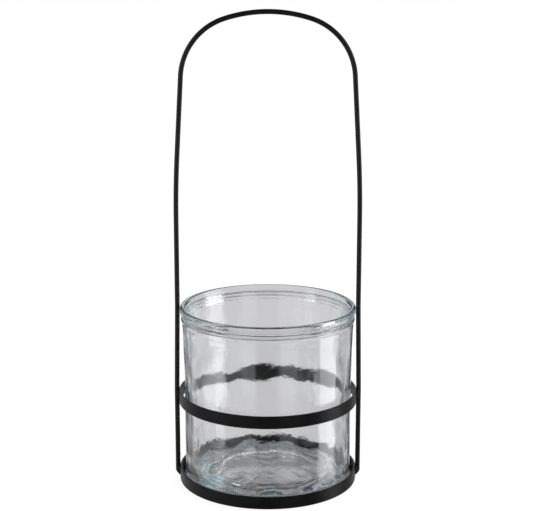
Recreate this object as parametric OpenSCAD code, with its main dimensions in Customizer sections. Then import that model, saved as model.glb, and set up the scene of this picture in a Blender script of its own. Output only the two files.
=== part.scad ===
// Candle lantern: a clear pressed-glass jar stands in a welded iron holder.
// The holder is two flat-strip hoops, a sheet base and one bent rod handle.
// Millimetres, +Z up. The origin is on the floor under the middle of the base.

/* [Iron holder] */
// Overall height, floor to the top of the handle
lantern_h = 421; // [380:1:450]
// Outside diameter of both hoops
hoop_d = 160; // [158:1:162]
// Height of the flat strip that the hoops are rolled from
strip_h = 11; // [9:0.5:14]
// Thickness of that strip
strip_t = 2; // [1.6:0.1:2.4]
// Rounding of the strip's rolled edges
strip_edge = 0.4; // [0.2:0.1:0.6]
// Floor to the underside of the middle hoop
mid_hoop_z = 72.7; // [50:0.1:84]
// Floor to the underside of the sheet base
plate_z = 1; // [1:0.1:2]
// Thickness of the sheet base
plate_t = 1; // [0.8:0.1:1.5]

/* [Handle] */
// Diameter of the handle rod
rod_d = 4.4; // [3.6:0.1:5]
// How far each leg leans in above the middle hoop
leg_lean = 1.3; // [1:0.1:1.3]
// Slope of that lean, in degrees from upright
lean_turn = 1; // [0.8:0.1:1.5]
// Radius of the shallow bow that starts the arch
bow_r = 960; // [800:10:1100]
// Turn of that bow, in degrees
bow_turn = 3.3; // [2.5:0.1:4]
// Straight stretch between the bow and the shoulder
bow_run = 69; // [50:1:80]
// Radius of the shoulder bends
shoulder_r = 54.7; // [50:0.1:60]
// Turn of each shoulder, in degrees
shoulder_turn = 68.5; // [66:0.5:70]
// Slant of the sheared leg ends, in degrees from level
end_cut = 50; // [40:1:60]

/* [Glass jar] */
// Height of the jar
jar_h = 159.5; // [140:0.5:165]
// Diameter of the lower body
body_d = 151; // [148:0.5:153]
// Diameter of the neck under the rim
neck_d = 154; // [153:0.1:155]
// Diameter over the rim bead
rim_d = 156.6; // [156:0.1:156.6]
// Diameter of the mouth at the lip
mouth_d = 149; // [148:0.5:150]
// Diameter of the bore under the funnel
bore_d = 140; // [138:0.5:142]
// Height of the funnel from the lip down to the bore
funnel_h = 10.5; // [8:0.5:14]
// Radius of the bend between the inner wall and the floor
inner_heel_r = 13; // [10:0.5:18]
// Radius of the outer bottom edge
heel_r = 12; // [8:0.5:14]
// Glass thickness under the candle
floor_t = 8; // [6:0.5:12]
// Diameter of the hollow under the jar
punt_d = 104; // [90:1:110]
// Depth of that hollow
punt_h = 2.5; // [0.5:0.1:3]

/* [Hidden] */

$fn = 96;
long_arc_fn = 1440;
iron = [0.09, 0.09, 0.10];
weld_iron = [0.13, 0.13, 0.14];
glass = [0.78, 0.86, 0.88, 0.35];

hoop_r = hoop_d / 2;
hoop_in_r = hoop_r - strip_t;
weld_sink = 0.1;
leg_x = hoop_r + rod_d / 2 - weld_sink;

// Handle: the legs rise straight to the middle hoop, lean in, then run straight
// up far enough for the jar's rim to pass between them, and bend into the arch.
lean_bend_r = 30;
lean_bend_h = lean_bend_r * sin(lean_turn);
lean_bend_in = lean_bend_r * (1 - cos(lean_turn));
lean_run = (leg_lean - 2 * lean_bend_in) / sin(lean_turn);
shoulder_x = leg_x - leg_lean - bow_r * (1 - cos(bow_turn)) - bow_run * sin(bow_turn);
crown_x = shoulder_x
    - shoulder_r * (cos(bow_turn) - cos(bow_turn + shoulder_turn));
crown_turn = 90 - bow_turn - shoulder_turn;
crown_r = crown_x / sin(crown_turn);
arch_h = bow_r * sin(bow_turn) + bow_run * cos(bow_turn)
    + shoulder_r * (sin(bow_turn + shoulder_turn) - sin(bow_turn))
    + crown_r * (1 - cos(crown_turn));
leg_base_run = mid_hoop_z + strip_h;
leg_top_run = lantern_h - rod_d / 2 - arch_h - leg_base_run
    - 2 * lean_bend_h - lean_run * cos(lean_turn);
// Each row is a straight run, then a bend: run, bend radius, bend turn.
rod_path = [
    [leg_base_run, lean_bend_r, lean_turn],
    [lean_run, lean_bend_r, -lean_turn],
    [leg_top_run, bow_r, bow_turn],
    [bow_run, shoulder_r, shoulder_turn],
    [0, crown_r, crown_turn]
];
rod_fn = 24;
rod_tol = 0.03;

// Welds: each bead is a row of overlapping pools in the groove beside a leg.
pool_r = 1.15;
pool_pitch = 1.5;
pool_count = 5;
pool_x = hoop_r + 0.75;
pool_y = 1.95;
tack_r = 0.9;
tack_count = 6;
tack_turn = 7;

// Glass: a lip bead, two moulding rings and a neck that tapers into the body.
foot_z = plate_z + plate_t;
body_r = body_d / 2;
neck_r = neck_d / 2;
rim_r = rim_d / 2;
mouth_r = mouth_d / 2;
bore_r = bore_d / 2;
lip_r = (rim_r - mouth_r) / 2;
lip_z = jar_h - lip_r;
bead_h = 3.5;
ring_r = 1.3;
ring_drop = [9.2, 12.2];
ring_rise = [0.35, 0.6];
neck_drop = 17;
waist_drop = 70;
punt_r = punt_d / 2;
punt_curve_r = (punt_r * punt_r + punt_h * punt_h) / (2 * punt_h);
over = 1;

// One hoop: flat strip rolled on edge, with rounded strip edges.
module hoop(z) {
    translate([0, 0, z])
        rotate_extrude($fn = 180)
            translate([hoop_in_r, 0])
                strip_section();
}

module strip_section() {
    translate([strip_edge, 0])
        square([strip_t - 2 * strip_edge, strip_h]);
    translate([0, strip_edge])
        square([strip_t, strip_h - 2 * strip_edge]);
    for (x = [strip_edge, strip_t - strip_edge], y = [strip_edge, strip_h - strip_edge])
        translate([x, y])
            circle(r = strip_edge, $fn = 24);
}

module base_hoop() {
    color(iron)
        hoop(0);
}

module mid_hoop() {
    color(iron)
        hoop(mid_hoop_z);
}

// The sheet disc that the jar stands on, set just above the floor.
module base_plate() {
    color(iron)
        translate([0, 0, plate_z])
            cylinder(h = plate_t, r = hoop_in_r, $fn = 180);
}

// Number of chords that keep a bend within rod_tol of its true arc.
function chords(r, turn) = ceil(abs(turn) / (2 * acos(1 - rod_tol / r)));

// Stations [x, z, heading] along half of the handle, from a leg end to the crown.
// Heading is in degrees from upright towards the middle.
function stations(i = 0, x = leg_x, z = 0, heading = 0) =
    i == len(rod_path) ? [] :
    let (
        run = rod_path[i][0],
        r = rod_path[i][1],
        turn = rod_path[i][2],
        swing = turn < 0 ? -r : r,
        bend_x = x - run * sin(heading),
        bend_z = z + run * cos(heading),
        n = chords(r, turn),
        bend = [
            for (k = [1 : n])
                let (h = heading + turn * k / n)
                [bend_x + swing * (cos(h) - cos(heading)),
                    bend_z + swing * (sin(h) - sin(heading)), h]
        ]
    )
    concat(
        i == 0 ? [[x, z, heading]] : [],
        run > 0 ? [[bend_x, bend_z, heading]] : [],
        bend,
        stations(i + 1, bend[n - 1][0], bend[n - 1][1], bend[n - 1][2])
    );

function mirrored(path) = [
    for (i = [len(path) - 2 : -1 : 0])
        [-path[i][0], path[i][1], 180 - path[i][2]]
];

// Height that the sheared end cuts a leg to at x, slanting up to the outside.
function shear_z(x) = (abs(x) - hoop_r + weld_sink) * tan(end_cut);

// One ring of the rod's surface. A leg end's ring lies on its sheared slant.
function ring(st, is_end) = [
    for (k = [0 : rod_fn - 1])
        let (
            across = rod_d / 2 * cos(360 * k / rod_fn),
            x = st[0] + across * cos(st[2])
        )
        [x, rod_d / 2 * sin(360 * k / rod_fn),
            is_end ? shear_z(x) : st[1] + across * sin(st[2])]
];

module handle() {
    half = stations();
    path = concat(half, mirrored(half));
    last = len(path) - 1;
    points = [for (i = [0 : last]) each ring(path[i], i == 0 || i == last)];
    sides = [
        for (i = [0 : last - 1], k = [0 : rod_fn - 1])
            let (next = (k + 1) % rod_fn)
            [i * rod_fn + k, (i + 1) * rod_fn + k, (i + 1) * rod_fn + next, i * rod_fn + next]
    ];
    first_end = [for (k = [0 : rod_fn - 1]) k];
    last_end = [for (k = [rod_fn - 1 : -1 : 0]) last * rod_fn + k];
    color(iron)
        polyhedron(points, concat(sides, [first_end, last_end]));
}

// The two weld beads that hold one leg to one hoop, left leg at side -1.
module leg_weld(side, hoop_z) {
    first_z = hoop_z + strip_h / 2 - pool_pitch * (pool_count - 1) / 2;
    color(weld_iron)
        for (edge = [-1, 1], i = [0 : pool_count - 1])
            translate([side * pool_x, edge * pool_y, first_z + i * pool_pitch])
                sphere(r = pool_r, $fn = 32);
}

module weld_base_left() {
    leg_weld(-1, 0);
}

module weld_base_right() {
    leg_weld(1, 0);
}

module weld_mid_left() {
    leg_weld(-1, mid_hoop_z);
}

module weld_mid_right() {
    leg_weld(1, mid_hoop_z);
}

// Tack welds under the sheet, in the corner that it makes with the hoop.
module plate_welds() {
    color(weld_iron)
        for (i = [0 : tack_count - 1])
            rotate([0, 0, (i + 0.5) * 360 / tack_count - tack_turn / 2])
                rotate_extrude(angle = tack_turn, $fn = long_arc_fn)
                    translate([hoop_in_r, plate_z])
                        intersection() {
                            circle(r = tack_r, $fn = 32);
                            translate([-tack_r, -tack_r])
                                square(tack_r);
                        }
}

// Half section of the solid glass outline, foot at z = 0.
module jar_outer() {
    square([body_r - heel_r, heel_r]);
    translate([body_r - heel_r, heel_r])
        circle(r = heel_r);
    polygon([
        [0, heel_r], [body_r, heel_r], [body_r, jar_h - waist_drop],
        [neck_r, jar_h - neck_drop], [neck_r, lip_z - bead_h],
        [rim_r - lip_r, lip_z - bead_h], [rim_r - lip_r, lip_z], [0, lip_z]
    ]);
    translate([rim_r - 2 * lip_r, lip_z - bead_h])
        square([2 * lip_r, bead_h]);
    for (z = [lip_z - bead_h, lip_z])
        translate([rim_r - lip_r, z])
            circle(r = lip_r);
    for (i = [0, 1])
        translate([neck_r + ring_rise[i] - ring_r, jar_h - ring_drop[i]])
            circle(r = ring_r);
}

// Half section of the candle space: bore, round inner heel and funnel mouth.
module jar_space() {
    translate([0, floor_t])
        square([bore_r - inner_heel_r, jar_h]);
    translate([bore_r - inner_heel_r, floor_t + inner_heel_r])
        circle(r = inner_heel_r);
    translate([0, floor_t + inner_heel_r])
        square([bore_r, jar_h]);
    polygon([
        [0, jar_h - funnel_h], [bore_r, jar_h - funnel_h],
        [mouth_r, lip_z], [mouth_r, jar_h + over], [0, jar_h + over]
    ]);
}

// The shallow hollow under the foot, so that the jar rests on a ring.
module punt() {
    translate([0, punt_h - punt_curve_r])
        circle(r = punt_curve_r, $fn = long_arc_fn);
}

module glass_jar() {
    color(glass)
        translate([0, 0, foot_z])
            rotate_extrude($fn = 180)
                difference() {
                    intersection() {
                        jar_outer();
                        square([hoop_d, jar_h + over]);
                    }
                    jar_space();
                    punt();
                }
}

base_hoop();
base_plate();
mid_hoop();
handle();
weld_base_left();
weld_base_right();
weld_mid_left();
weld_mid_right();
plate_welds();
glass_jar();
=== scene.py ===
"""Candle lantern: a pressed-glass jar in a black iron hoop holder with a rod handle."""

import math

import bpy
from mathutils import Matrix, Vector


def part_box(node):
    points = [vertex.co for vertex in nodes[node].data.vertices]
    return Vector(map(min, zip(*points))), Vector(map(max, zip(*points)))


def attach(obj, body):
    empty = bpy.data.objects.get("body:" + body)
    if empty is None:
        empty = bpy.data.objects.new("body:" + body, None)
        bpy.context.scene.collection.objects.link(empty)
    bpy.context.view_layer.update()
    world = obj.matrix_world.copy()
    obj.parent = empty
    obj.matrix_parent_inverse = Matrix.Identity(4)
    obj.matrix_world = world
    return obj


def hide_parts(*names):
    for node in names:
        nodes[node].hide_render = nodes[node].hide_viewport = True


MM = 0.001

HOLDER = "holder"
JAR = "jar"
HOOP_PIECES = ("base_hoop", "mid_hoop")
WELD_PIECES = ("weld_base_left", "weld_base_right", "weld_mid_left", "weld_mid_right",
               "plate_welds")

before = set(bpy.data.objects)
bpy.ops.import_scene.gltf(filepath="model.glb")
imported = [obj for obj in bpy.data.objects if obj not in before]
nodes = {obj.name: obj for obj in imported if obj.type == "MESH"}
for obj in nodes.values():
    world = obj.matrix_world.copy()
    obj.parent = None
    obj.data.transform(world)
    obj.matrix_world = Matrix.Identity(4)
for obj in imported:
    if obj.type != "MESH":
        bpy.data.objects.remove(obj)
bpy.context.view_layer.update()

strip_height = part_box("base_hoop")[1][2]
mid_hoop_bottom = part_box("mid_hoop")[0][2]
plate_middle = sum(corner[2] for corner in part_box("base_plate")) / 2
jar_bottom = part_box("glass_jar")[0][2]
jar_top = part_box("glass_jar")[1][2]
jar_rim_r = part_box("glass_jar")[1][0]
handle_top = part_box("handle")[1][2]
leg_outer_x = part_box("handle")[1][0]


# ---------------------------------------------------------------- camera

CAMERA_PLACE = (-0.0012, -1.1545, 0.4614)
CAMERA_LENS = 90.2
LOOK_DOWN = 12.467


def set_camera():
    """The product view: a long lens, a little above the lantern, looking down at it."""
    data = bpy.data.cameras.new("product_camera")
    data.sensor_width = 36
    data.lens = CAMERA_LENS
    data.clip_end = 50
    camera = bpy.data.objects.new("product_camera", data)
    bpy.context.scene.collection.objects.link(camera)
    camera.location = CAMERA_PLACE
    camera.rotation_euler = (math.radians(90 - LOOK_DOWN), 0, 0)
    bpy.context.scene.camera = camera


# ---------------------------------------------------------------- shader maths

class Wire:
    """A shader socket that can be used in a Python expression."""

    def __init__(self, sheet, socket):
        self.sheet = sheet
        self.socket = socket

    def maths(self, operation, *others):
        values = dict(enumerate((self,) + others))
        return self.sheet.node("ShaderNodeMath", {"operation": operation}, values)

    def __add__(self, other):
        return self.maths("ADD", other)

    def __sub__(self, other):
        return self.maths("SUBTRACT", other)

    def __mul__(self, other):
        return self.maths("MULTIPLY", other)

    def __rsub__(self, other):
        return self * -1 + other

    __radd__ = __add__
    __rmul__ = __mul__

    def __abs__(self):
        return self.maths("ABSOLUTE")

    def above(self, limit):
        """1 above the limit, and 0 below it."""
        return self.maths("GREATER_THAN", limit)

    def ramp(self, low, high):
        """0 below low, 1 above high, smooth between."""
        spread = {"interpolation_type": "SMOOTHSTEP", "clamp": True}
        return self.sheet.node("ShaderNodeMapRange", spread,
                               {"Value": self, "From Min": low, "From Max": high})


class Sheet:
    """The node sheet of one material or world."""

    def __init__(self, owner):
        owner.use_nodes = True
        self.owner = owner
        self.tree = owner.node_tree
        self.tree.nodes.clear()

    def node(self, kind, settings=None, sockets=None, output=0):
        made = self.tree.nodes.new(kind)
        for name, value in (settings or {}).items():
            setattr(made, name, value)
        for name, value in (sockets or {}).items():
            if isinstance(value, Wire):
                self.tree.links.new(value.socket, made.inputs[name])
            else:
                made.inputs[name].default_value = value
        return Wire(self, made.outputs[output])

    def place(self):
        """Object coordinates, in metres."""
        return self.node("ShaderNodeTexCoord", output="Object")

    def away(self):
        """Distance from the upright middle line, in metres."""
        x, y, _ = self.split(self.place())
        return (x * x + y * y).maths("SQRT")

    def turn(self):
        """Angle round the upright middle line."""
        x, y, _ = self.split(self.place())
        return y.maths("ARCTAN2", x)

    def split(self, vector):
        """The X, Y and Z of a vector."""
        parts = self.node("ShaderNodeSeparateXYZ", None, {0: vector}).socket.node
        return [Wire(self, part) for part in parts.outputs]

    def join(self, x, y, z):
        return self.node("ShaderNodeCombineXYZ", None, {0: x, 1: y, 2: z})

    def noise(self, vector, size, detail=2.0, roughness=0.5):
        """Cloud noise whose lumps are about size metres across."""
        return self.node("ShaderNodeTexNoise", None, {
            "Vector": vector, "Scale": 1 / size, "Detail": detail, "Roughness": roughness})

    def blend(self, factor, a, b):
        return self.node("ShaderNodeMix", {"data_type": "RGBA"}, {
            "Factor": factor, 6: a, 7: b}, output=2)

    def bump(self, height, depth, normal=None):
        """Surface relief, depth metres from height 0 to height 1."""
        sockets = {"Height": height, "Distance": depth, "Strength": 1.0}
        if normal is not None:
            sockets["Normal"] = normal
        return self.node("ShaderNodeBump", None, sockets)

    def output(self, **sockets):
        is_world = isinstance(self.owner, bpy.types.World)
        kind = "ShaderNodeOutputWorld" if is_world else "ShaderNodeOutputMaterial"
        end = self.tree.nodes.new(kind)
        for name, value in sockets.items():
            self.tree.links.new(value.socket, end.inputs[name])


def new_material(name):
    return Sheet(bpy.data.materials.new(name))


# ---------------------------------------------------------------- finishes

IRON_DARK = (0.001, 0.001, 0.0011, 1)
IRON_WORN = (0.012, 0.012, 0.013, 1)
# Pale zinc for the ring round the jar's foot in the sheet: a painted pool of light.
PAINTED_LIGHT_ZINC = (0.84, 0.88, 0.92, 1)

# Shine of each kind of iron. The rolled strip and the sheet are duller than the rod.
ROD_SHINE = 0.35
STRIP_SHINE = 0.13
SHEET_SHINE = 0.1

# The pale ring painted in the sheet round the jar's foot, a painted pool of light that stands in
# for
# the light the glass foot gathers: where it starts and ends, and how softly each edge fades.
LIGHT_RING_START, LIGHT_RING_END = 40 * MM, 77 * MM
LIGHT_RING_FADE_IN, LIGHT_RING_FADE_OUT = 14 * MM, 4 * MM


def black_iron(name, grain_from, edge_mask=None, shine=ROD_SHINE, painted_light_ring=None):
    """Satin black paint on iron. grain_from(sheet) gives the direction of the rolled grain,
    edge_mask(sheet) where the paint is polished, and the last argument where pale zinc is painted
    in as light."""
    sheet = new_material(name)
    place = sheet.place()
    grain = sheet.noise(grain_from(sheet), 1.0, 4.0, 0.65)
    mottle = sheet.noise(place, 0.009, 3.0)
    peel = sheet.noise(place, 0.0007, 2.0, 0.6)
    scuff = sheet.noise(place, 0.0035, 5.0, 0.7).ramp(0.62, 0.74)
    tone = (mottle - 0.5) * 0.5 + (grain - 0.5) * 0.7 + scuff * 0.4 + 0.45
    if edge_mask is not None:
        tone = tone + edge_mask(sheet) * 0.8
    colour = sheet.blend(tone, IRON_DARK, IRON_WORN)
    rough = 0.36 + (mottle - 0.5) * 0.14 + (grain - 0.5) * 0.22 - scuff * 0.06
    # Painted light: a pale zinc ring in the sheet stands in for the light that the glass foot
    # gathers there.
    if painted_light_ring is not None:
        lit_ring = painted_light_ring(sheet)
        colour = sheet.blend(lit_ring, colour, PAINTED_LIGHT_ZINC)
        rough = rough + lit_ring * 0.2
    relief = sheet.bump(peel, 0.000012)
    relief = sheet.bump(grain, 0.00002, relief)
    shader = sheet.node("ShaderNodeBsdfPrincipled", None, {
        "Base Color": colour, "Roughness": rough, "Normal": relief,
        "Specular IOR Level": shine, "IOR": 1.5})
    sheet.output(Surface=shader)
    return sheet.owner


def strip_grain(sheet):
    """Grain that runs round a hoop: long along the strip, fine across it."""
    z = sheet.split(sheet.place())[2]
    return sheet.join(sheet.turn() * 6, z * 2600, 0)


def rod_grain(sheet):
    """Grain that runs up the rod."""
    x, y, z = sheet.split(sheet.place())
    return sheet.join(x * 900, y * 900, z * 30)


def sheet_grain(sheet):
    """Grain that runs from side to side across the sheet."""
    x, y, z = sheet.split(sheet.place())
    return sheet.join(x * 40, y * 900, z)


def weld_grain(sheet):
    """Even grain, the same all ways."""
    x, y, z = sheet.split(sheet.place())
    return sheet.join(x * 700, y * 700, z * 700)


def strip_edges(sheet):
    """1 on the worn upper and lower edges of both hoops."""
    z = sheet.split(sheet.place())[2]
    half = strip_height / 2

    def edges_of(bottom):
        away = abs(z - (bottom + half))
        outside = away.ramp(half + 0.2 * MM, half + 0.6 * MM)
        return away.ramp(half - 0.6 * MM, half - 0.1 * MM) * (1 - outside)

    edge = edges_of(0) + edges_of(mid_hoop_bottom)
    worn = sheet.noise(sheet.place(), 0.006, 4.0, 0.7).ramp(0.4, 0.7)
    return edge * worn


def painted_foot_light_ring(sheet):
    """1 on a ring round the jar's foot in the top of the sheet, where pale zinc is painted in as
    a pool of light, streaked like scratches.
    """
    away = sheet.away()
    z = sheet.split(sheet.place())[2]
    ring = away.ramp(LIGHT_RING_START, LIGHT_RING_START + LIGHT_RING_FADE_IN) \
        * (1 - away.ramp(LIGHT_RING_END - LIGHT_RING_FADE_OUT, LIGHT_RING_END))
    streak_lines = sheet.join(sheet.turn() * 3, away * 420, 0)
    ring_streaks = sheet.noise(streak_lines, 1.0, 4.0, 0.7).ramp(0.36, 0.58)
    return ring * (0.25 + ring_streaks * 0.75) * z.above(plate_middle)


# Relief in the glass. The rises of the ledge and the patch are multiples of the swirl's depth.
SWIRL_DEPTH = 0.3 * MM
RING_PITCH = 5.8 * MM
LEDGE = 49 * MM
LEDGE_DRIFT = 0.5
LEDGE_RISE = 2.5
PATCH_RISE = 0.5
RIPPLE = 0.06 * MM
FINE_RIPPLE = 0.028 * MM


def mould_swirl(sheet, place):
    """What the plunger leaves in the thick foot: uneven rings between the floor and the wall,
    a ledge round the floor and a rippled patch in its middle."""
    away = sheet.away()
    z = sheet.split(place)[2]
    drift = (sheet.noise(place, 0.035, 3.0) - 0.5) * 0.016
    rings = ((away + drift) * (math.tau / RING_PITCH)).maths("SINE")
    zone = away.ramp(0.040, 0.050) * (1 - away.ramp(0.064, 0.070))
    low = 1 - z.ramp(jar_bottom + 0.011, jar_bottom + 0.015)
    edge = away + drift * LEDGE_DRIFT
    ledge = edge.ramp(LEDGE - 0.003, LEDGE) * (1 - edge.ramp(LEDGE, LEDGE + 0.004))
    patch = sheet.noise(place, 0.0028, 3.0, 0.6) * (1 - away.ramp(0.012, 0.034))
    return (rings * zone + ledge * LEDGE_RISE + patch * PATCH_RISE) * low


def clear_glass():
    """Pressed soda glass: faintly green-blue in thickness, with fine mould ripple."""
    sheet = new_material("clear_pressed_glass")
    place = sheet.place()
    ripple = sheet.noise(place, 0.0045, 2.0, 0.55)
    fine_ripple = sheet.noise(place, 0.0016, 2.0, 0.5)
    relief = sheet.bump(mould_swirl(sheet, place), SWIRL_DEPTH)
    relief = sheet.bump(ripple, RIPPLE, relief)
    relief = sheet.bump(fine_ripple, FINE_RIPPLE, relief)
    shader = sheet.node("ShaderNodeBsdfPrincipled", None, {
        "Base Color": (1, 1, 1, 1), "Roughness": 0.0, "IOR": 1.52,
        "Transmission Weight": 1.0, "Normal": relief})
    tint = sheet.node("ShaderNodeVolumeAbsorption", None, {
        "Color": (0.60, 0.85, 0.90, 1), "Density": 8.0})
    sheet.output(Surface=shader, Volume=tint)
    return sheet.owner


# ---------------------------------------------------------------- modelling helpers

def deselect_all():
    if bpy.context.mode != "OBJECT":
        bpy.ops.object.mode_set(mode="OBJECT")
    bpy.ops.object.select_all(action="DESELECT")


def arc(centre_r, centre_z, radius, start, end, steps):
    """Points on a round corner of an outline, angles in degrees from outwards to up."""
    return [(centre_r + radius * math.cos(math.radians(start + (end - start) * i / steps)),
             centre_z + radius * math.sin(math.radians(start + (end - start) * i / steps)))
            for i in range(steps + 1)]


def run(start, end, step):
    """Points along a straight side, without its two ends."""
    length = math.dist(start, end)
    count = max(1, round(length / step))
    return [(start[0] + (end[0] - start[0]) * i / count,
             start[1] + (end[1] - start[1]) * i / count)
            for i in range(1, count)]


def outline(*stretches, step):
    """One outline from several stretches, with the straight gaps between them divided."""
    points = list(stretches[0])
    for stretch in stretches[1:]:
        points += run(points[-1], stretch[0], step)
        points += stretch
    return points


def turn_on_lathe(name, points, segments):
    """Extrudes one vertex along the outline in the XZ plane, then spins it into a closed form."""
    deselect_all()
    bpy.ops.mesh.primitive_plane_add(size=0.001, location=(0, 0, 0))
    piece = bpy.context.object
    piece.name = name
    bpy.ops.object.mode_set(mode="EDIT")
    bpy.ops.mesh.select_all(action="SELECT")
    bpy.ops.mesh.merge(type="CENTER")
    bpy.ops.transform.translate(value=(points[0][0], 0, points[0][1]))
    for (r0, z0), (r1, z1) in zip(points, points[1:]):
        bpy.ops.mesh.extrude_region_move(TRANSFORM_OT_translate={"value": (r1 - r0, 0, z1 - z0)})
    bpy.ops.mesh.select_all(action="SELECT")
    bpy.ops.mesh.spin(steps=segments, angle=math.tau, center=(0, 0, 0), axis=(0, 0, 1))
    bpy.ops.mesh.select_all(action="SELECT")
    bpy.ops.mesh.remove_doubles(threshold=0.00001)
    bpy.ops.mesh.normals_make_consistent(inside=False)
    bpy.ops.object.mode_set(mode="OBJECT")
    bpy.ops.object.shade_smooth()
    return piece


def stretch(piece, factor):
    """Scales the mesh in height about the floor, in edit mode."""
    bpy.context.view_layer.objects.active = piece
    bpy.ops.object.mode_set(mode="EDIT")
    bpy.ops.mesh.select_all(action="SELECT")
    bpy.ops.transform.resize(value=(1, 1, factor), center_override=(0, 0, 0))
    bpy.ops.object.mode_set(mode="OBJECT")


def waves(piece, name, size, depth, tall, group):
    """Uneven glass in one vertex group: moves the surface in by up to depth, in lumps that are
    size wide and tall times as high."""
    texture = bpy.data.textures.new(name, "CLOUDS")
    texture.noise_scale = size
    texture.noise_depth = 1
    modifier = piece.modifiers.new(name, "DISPLACE")
    modifier.texture = texture
    modifier.texture_coords = "LOCAL"
    modifier.strength = depth
    modifier.mid_level = 1.0
    modifier.vertex_group = group
    stretch(piece, 1 / tall)
    bpy.ops.object.modifier_apply(modifier=modifier.name)
    stretch(piece, tall)


def height_group(piece, name, low, high, fade):
    """A vertex group that holds from low to high and fades out over the height of fade."""
    group = piece.vertex_groups.new(name=name)
    for vertex in piece.data.vertices:
        z = vertex.co.z
        weight = min((z - low) / fade, (high - z) / fade, 1)
        if weight > 0:
            group.add([vertex.index], weight, "REPLACE")
    return name


# ---------------------------------------------------------------- glass jar

# Holds the jar's foot just clear of the plate, so that no two faces lie in one plane.
SEAT_GAP = 0.03 * MM
JAR_SEGMENTS = 224


def jar_outline():
    """Half section of the jar: foot, outside, moulded neck, rim bead, funnel, bore and floor."""
    z0 = jar_bottom + SEAT_GAP
    top = jar_top
    body_r = 75.5 * MM
    neck_r = 77.0 * MM
    mouth_r = 74.5 * MM
    bore_r = 70 * MM
    heel_r = 12 * MM
    inner_heel_r = 4 * MM
    floor_z = z0 + 8.5 * MM
    dome_r = 600 * MM
    inner_heel_c = bore_r - inner_heel_r
    dome_turn = math.degrees(math.asin(inner_heel_c / (dome_r + inner_heel_r)))
    inner_heel_z = floor_z - dome_r + (dome_r + inner_heel_r) * math.cos(math.radians(dome_turn))
    punt_r = 52 * MM
    punt_h = 1.2 * MM
    lip_r = (jar_rim_r - mouth_r) / 2
    lip_z = top - lip_r
    bead_z = lip_z - 3.5 * MM
    lip_c = jar_rim_r - lip_r
    ring_r = 1.3 * MM
    upper_ring = (neck_r + 0.35 * MM - ring_r, top - 9.2 * MM)
    lower_ring = (neck_r + 0.6 * MM - ring_r, top - 12.2 * MM)
    funnel_z = top - 10.5 * MM
    return outline(
        [(0, z0 + punt_h), (punt_r - 4 * MM, z0 + punt_h)],
        arc(punt_r, z0 + 0.8 * MM, 0.8 * MM, 240, 270, 3),
        arc(body_r - heel_r, z0 + heel_r, heel_r, -90, 0, 14),
        [(body_r, top - 70 * MM)],
        [(neck_r, top - 17 * MM)],
        arc(*lower_ring, ring_r, -84, 84, 10),
        arc(*upper_ring, ring_r, -84, 84, 10),
        arc(lip_c, bead_z, lip_r, -86, 0, 8),
        arc(lip_c, lip_z, lip_r, 0, 180, 18),
        arc(bore_r + 2 * MM, funnel_z - 1.0 * MM, 2 * MM, 155, 180, 4),
        arc(inner_heel_c, inner_heel_z, inner_heel_r, 0, -90 - dome_turn, 20),
        arc(0, floor_z - dome_r, dome_r, 90 - dome_turn, 90, 26)[1:],
        step=2.2 * MM)


def make_jar():
    jar = turn_on_lathe("jar_glass", jar_outline(), JAR_SEGMENTS)
    base = height_group(jar, "thick_base", -0.01, 0.026, 0.008)
    body = height_group(jar, "body", 0.012, 0.15, 0.01)
    waves(jar, "slow_waves", 0.030, 0.0008, 1, body)
    waves(jar, "tall_waves", 0.010, 0.00030, 4, body)
    waves(jar, "fine_waves", 0.005, 0.00006, 1.5, body)
    waves(jar, "base_swirls", 0.016, 0.0006, 1, base)
    waves(jar, "base_ripples", 0.004, 0.00010, 1, base)
    jar.data.materials.append(clear_glass())
    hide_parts("glass_jar")
    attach(jar, JAR)


# ---------------------------------------------------------------- handle

# Each bend is a radius and a turn in degrees.
ROD_R = 2.2 * MM
LEAN_BEND = (30 * MM, 1.0)
BOW = (960 * MM, 3.3)
SHOULDER = (54.7 * MM, 68.5)
LEG_LEAN = 1.3 * MM
BOW_RUN = 69 * MM
END_CUT = 50.0


class RodBender:
    """Bends a ring of vertices into a rod, from a leg end up to the middle of the crown."""

    def __init__(self, x, z):
        self.x, self.z, self.heading = x, z, 0.0

    def straight(self, length):
        """Adds a straight length along the heading."""
        step = (-length * math.sin(self.heading), 0, length * math.cos(self.heading))
        bpy.ops.mesh.extrude_region_move(TRANSFORM_OT_translate={"value": step})
        self.x += step[0]
        self.z += step[2]

    def bend(self, radius, degrees, steps):
        """Adds a bend in the XZ plane. A positive turn goes towards the middle."""
        turn = math.radians(degrees)
        side = 1 if turn > 0 else -1
        centre_x = self.x - side * radius * math.cos(self.heading)
        centre_z = self.z - side * radius * math.sin(self.heading)
        bpy.ops.mesh.spin(steps=steps, angle=abs(turn), center=(centre_x, 0, centre_z),
                          axis=(0, side, 0))
        self.heading += turn
        self.x = centre_x + side * radius * math.cos(self.heading)
        self.z = centre_z + side * radius * math.sin(self.heading)


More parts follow.
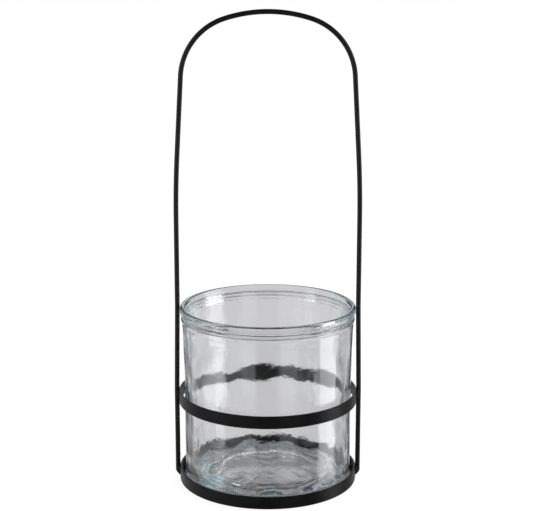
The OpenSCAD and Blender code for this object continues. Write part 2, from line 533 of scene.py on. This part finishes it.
def make_handle():
    """One rod: half is bent from the right leg's end to the crown, cut, and then mirrored."""
    leg_x = leg_outer_x - ROD_R
    lean_r, lean = LEAN_BEND
    lean_rad = math.radians(lean)
    lean_run = (LEG_LEAN - 2 * lean_r * (1 - math.cos(lean_rad))) / math.sin(lean_rad)
    deselect_all()
    bpy.ops.mesh.primitive_circle_add(vertices=32, radius=ROD_R, location=(leg_x, 0, 0))
    rod = bpy.context.object
    rod.name = "handle_rod"
    bpy.ops.object.transform_apply(location=True)
    bpy.ops.object.mode_set(mode="EDIT")
    bpy.ops.mesh.select_all(action="SELECT")

    bender = RodBender(leg_x, 0)
    bender.straight(mid_hoop_bottom + strip_height)
    bender.bend(lean_r, lean, 1)
    bender.straight(lean_run)
    bender.bend(lean_r, -lean, 1)
    crown_turn = 90 - BOW[1] - SHOULDER[1]
    bow_rad, shoulder_rad = math.radians(BOW[1]), math.radians(BOW[1] + SHOULDER[1])
    arch_x = bender.x - BOW[0] * (1 - math.cos(bow_rad)) - BOW_RUN * math.sin(bow_rad) \
        - SHOULDER[0] * (math.cos(bow_rad) - math.cos(shoulder_rad))
    crown_r = arch_x / math.sin(math.radians(crown_turn))
    arch_h = BOW[0] * math.sin(bow_rad) + BOW_RUN * math.cos(bow_rad) \
        + SHOULDER[0] * (math.sin(shoulder_rad) - math.sin(bow_rad)) \
        + crown_r * (1 - math.cos(math.radians(crown_turn)))
    bender.straight(handle_top - ROD_R - arch_h - bender.z)
    bender.bend(BOW[0], BOW[1], 8)
    bender.straight(BOW_RUN)
    bender.bend(SHOULDER[0], SHOULDER[1], 40)
    bender.bend(crown_r, crown_turn, 16)

    slant = math.radians(END_CUT)
    bpy.ops.mesh.select_all(action="SELECT")
    bpy.ops.mesh.bisect(plane_co=(leg_x - ROD_R, 0, 0),
                        plane_no=(math.sin(slant), 0, -math.cos(slant)),
                        use_fill=True, clear_outer=True)
    bpy.ops.object.mode_set(mode="OBJECT")
    mirror = rod.modifiers.new("both_legs", "MIRROR")
    mirror.use_clip = True
    mirror.merge_threshold = 0.00005
    bpy.ops.object.modifier_apply(modifier=mirror.name)
    bpy.ops.object.mode_set(mode="EDIT")
    bpy.ops.mesh.select_all(action="SELECT")
    bpy.ops.mesh.remove_doubles(threshold=0.00001)
    bpy.ops.mesh.normals_make_consistent(inside=False)
    bpy.ops.object.mode_set(mode="OBJECT")
    bpy.ops.object.shade_smooth_by_angle(angle=math.radians(35))
    rod.data.materials.append(black_iron("handle_black_iron", rod_grain))
    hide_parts("handle")
    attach(rod, HOLDER)


# ---------------------------------------------------------------- iron holder

def finish_holder():
    """The hoops, the plate and the welds keep their own shapes and get a finish."""
    strip = black_iron("strip_black_iron", strip_grain, strip_edges, STRIP_SHINE)
    # The sheet gets a pale ring painted round the jar's foot, a painted pool of light.
    sheet = black_iron("sheet_black_iron", sheet_grain, shine=SHEET_SHINE, painted_light_ring=painted_foot_light_ring)
    weld = black_iron("weld_black_iron", weld_grain)
    for name in HOOP_PIECES:
        nodes[name].data.materials[0] = strip
    nodes["base_plate"].data.materials[0] = sheet
    for name in WELD_PIECES:
        nodes[name].data.materials[0] = weld


# ---------------------------------------------------------------- studio

FLOOR_R = 6
LIGHT_PATH = "ShaderNodeLightPath"

# How bright the ground behind everything is to the camera.
WHITE_GROUND = 1.0
# What plain surfaces get from all round. Near this level a colour renders as it is written.
AMBIENT = 0.85
# The surround that shows through the glass: eight screens, 45 degrees apart. A gap starts this
# many degrees from the middle of a screen.
SCREENS = 8
SCREEN_TURN = 360 / SCREENS
THROUGH_TONE = 0.64
GAP_START = 15.5
GAP_FADE = 3
GAP_DARK = 0.92
ROOF_START = 0.5
ROOF_FADE = 0.2
ROOF_DARK = 0.94
# One more gap, far round on the left.
LEFT_GAP = 0.52
LEFT_GAP_FADE = 0.15
LEFT_DARK = 0.95
# How dark the front is for light that the glass has turned back.
FRONT_DARK = 0.85

# Name, azimuth and spread in degrees, distance, lower and upper height in metres, radiance.
LAMPS = (
    ("right_softbox", 88, 31, 1.3, -0.6, 1.3, 2.5),
    ("left_strip", -67, 15, 1.3, -0.6, 1.3, 1.45),
    ("front_left_fill", -37, 40, 1.6, -0.8, 1.0, 0.6),
    ("front_right_fill", 28, 23, 1.6, -0.8, 1.0, 0.6),
    ("back_softbox", 180, 44, 2.0, 0.88, 1.3, 1.4),
)
LIGHT_BOUNCES = 28


def make_floor():
    """A plain white table. It shows as the white ground, keeps the shadow, and isn't mirrored."""
    deselect_all()
    bpy.ops.mesh.primitive_circle_add(vertices=128, radius=FLOOR_R, fill_type="NGON",
                                      location=(0, 0, 0))
    floor = bpy.context.object
    floor.name = "studio_floor"
    sheet = new_material("studio_floor_white")
    camera = sheet.node(LIGHT_PATH, output="Is Camera Ray")
    grain = sheet.noise(sheet.place(), 0.02, 2.0)
    paint = sheet.node("ShaderNodeBsdfDiffuse", None, {
        "Color": sheet.blend(grain, (0.80, 0.80, 0.80, 1), (0.82, 0.82, 0.82, 1))})
    glow = sheet.node("ShaderNodeEmission", None, {"Color": (1, 1, 1, 1), "Strength": 0.82})
    shadow_catcher = sheet.node("ShaderNodeBsdfDiffuse", None, {"Color": (0.25, 0.25, 0.25, 1)})
    seen = sheet.node("ShaderNodeAddShader", None, {0: shadow_catcher, 1: glow})
    sheet.output(Surface=sheet.node("ShaderNodeMixShader", None, {0: camera, 1: paint, 2: seen}))
    floor.data.materials.append(sheet.owner)
    floor.visible_glossy = False
    floor.visible_transmission = False


def make_world():
    """White to the camera, and even light on plain surfaces. Glass shows a grey surround with
    dark gaps, and gloss and the face of the glass mirror a paler back than front."""
    world = bpy.data.worlds.new("studio_world")
    bpy.context.scene.world = world
    sheet = Sheet(world)
    camera = sheet.node(LIGHT_PATH, output="Is Camera Ray")
    through = sheet.node(LIGHT_PATH, output="Is Transmission Ray")
    glossy = sheet.node(LIGHT_PATH, output="Is Glossy Ray")
    scattered = sheet.node(LIGHT_PATH, output="Diffuse Depth").above(0.5)
    turned_back = sheet.node(LIGHT_PATH, output="Glossy Depth").above(0.5)
    x, y, z = sheet.split(sheet.node("ShaderNodeTexCoord", output="Generated"))

    turn = x.maths("ARCTAN2", y) * (SCREENS / math.tau) + (SCREENS + 0.5)
    from_middle = abs(turn.maths("FRACT") - 0.5) * SCREEN_TURN
    screen = 1 - from_middle.ramp(GAP_START, GAP_START + GAP_FADE) * GAP_DARK
    below_roof = 1 - z.ramp(ROOF_START, ROOF_START + ROOF_FADE) * ROOF_DARK
    left = x * -1
    left_gap = left.ramp(LEFT_GAP - LEFT_GAP_FADE, LEFT_GAP) \
        * (1 - left.ramp(LEFT_GAP, LEFT_GAP + LEFT_GAP_FADE)) * LEFT_DARK
    dark_front = turned_back * (1 - y.ramp(-0.5, 0.2)) * FRONT_DARK
    shown_through = screen * below_roof * THROUGH_TONE * (1 - left_gap) * (1 - dark_front)
    mirrored = below_roof * (0.03 + y.ramp(-0.4, 0.1) * (0.6 - x.ramp(0.3, 0.9) * 0.45))

    sharp = through * shown_through + (1 - through) * glossy * mirrored \
        + (1 - camera) * (1 - through) * (1 - glossy) * AMBIENT
    strength = camera * WHITE_GROUND + scattered * AMBIENT + (1 - scattered) * sharp
    sheet.output(Surface=sheet.node("ShaderNodeBackground", None, {
        "Color": sheet.blend(camera, (1, 0.982, 1, 1), (1, 1, 1, 1)), "Strength": strength}))


def soft_light(name, azimuth, spread, distance, low, high, radiance):
    """An upright softbox that faces the jar. Azimuth 0 is in front and 90 is on the right."""
    data = bpy.data.lights.new(name, "AREA")
    data.shape = "RECTANGLE"
    data.size = 2 * distance * math.tan(math.radians(spread / 2))
    data.size_y = high - low
    data.energy = radiance * math.pi * data.size * data.size_y
    lamp = bpy.data.objects.new(name, data)
    bpy.context.scene.collection.objects.link(lamp)
    turn = math.radians(azimuth)
    lamp.location = (distance * math.sin(turn), -distance * math.cos(turn), (low + high) / 2)
    lamp.rotation_euler = (math.radians(90), 0, turn)
    lamp.visible_camera = False


def set_light_bounces():
    """Light turns many times inside the thick rim and foot before it comes out."""
    cycles = bpy.context.scene.cycles
    cycles.max_bounces = LIGHT_BOUNCES
    cycles.glossy_bounces = LIGHT_BOUNCES
    cycles.transmission_bounces = LIGHT_BOUNCES


set_camera()
make_jar()
make_handle()
finish_holder()
make_floor()
make_world()
for lamp_row in LAMPS:
    soft_light(*lamp_row)
set_light_bounces()
bpy.context.scene.view_settings.view_transform = "Standard"
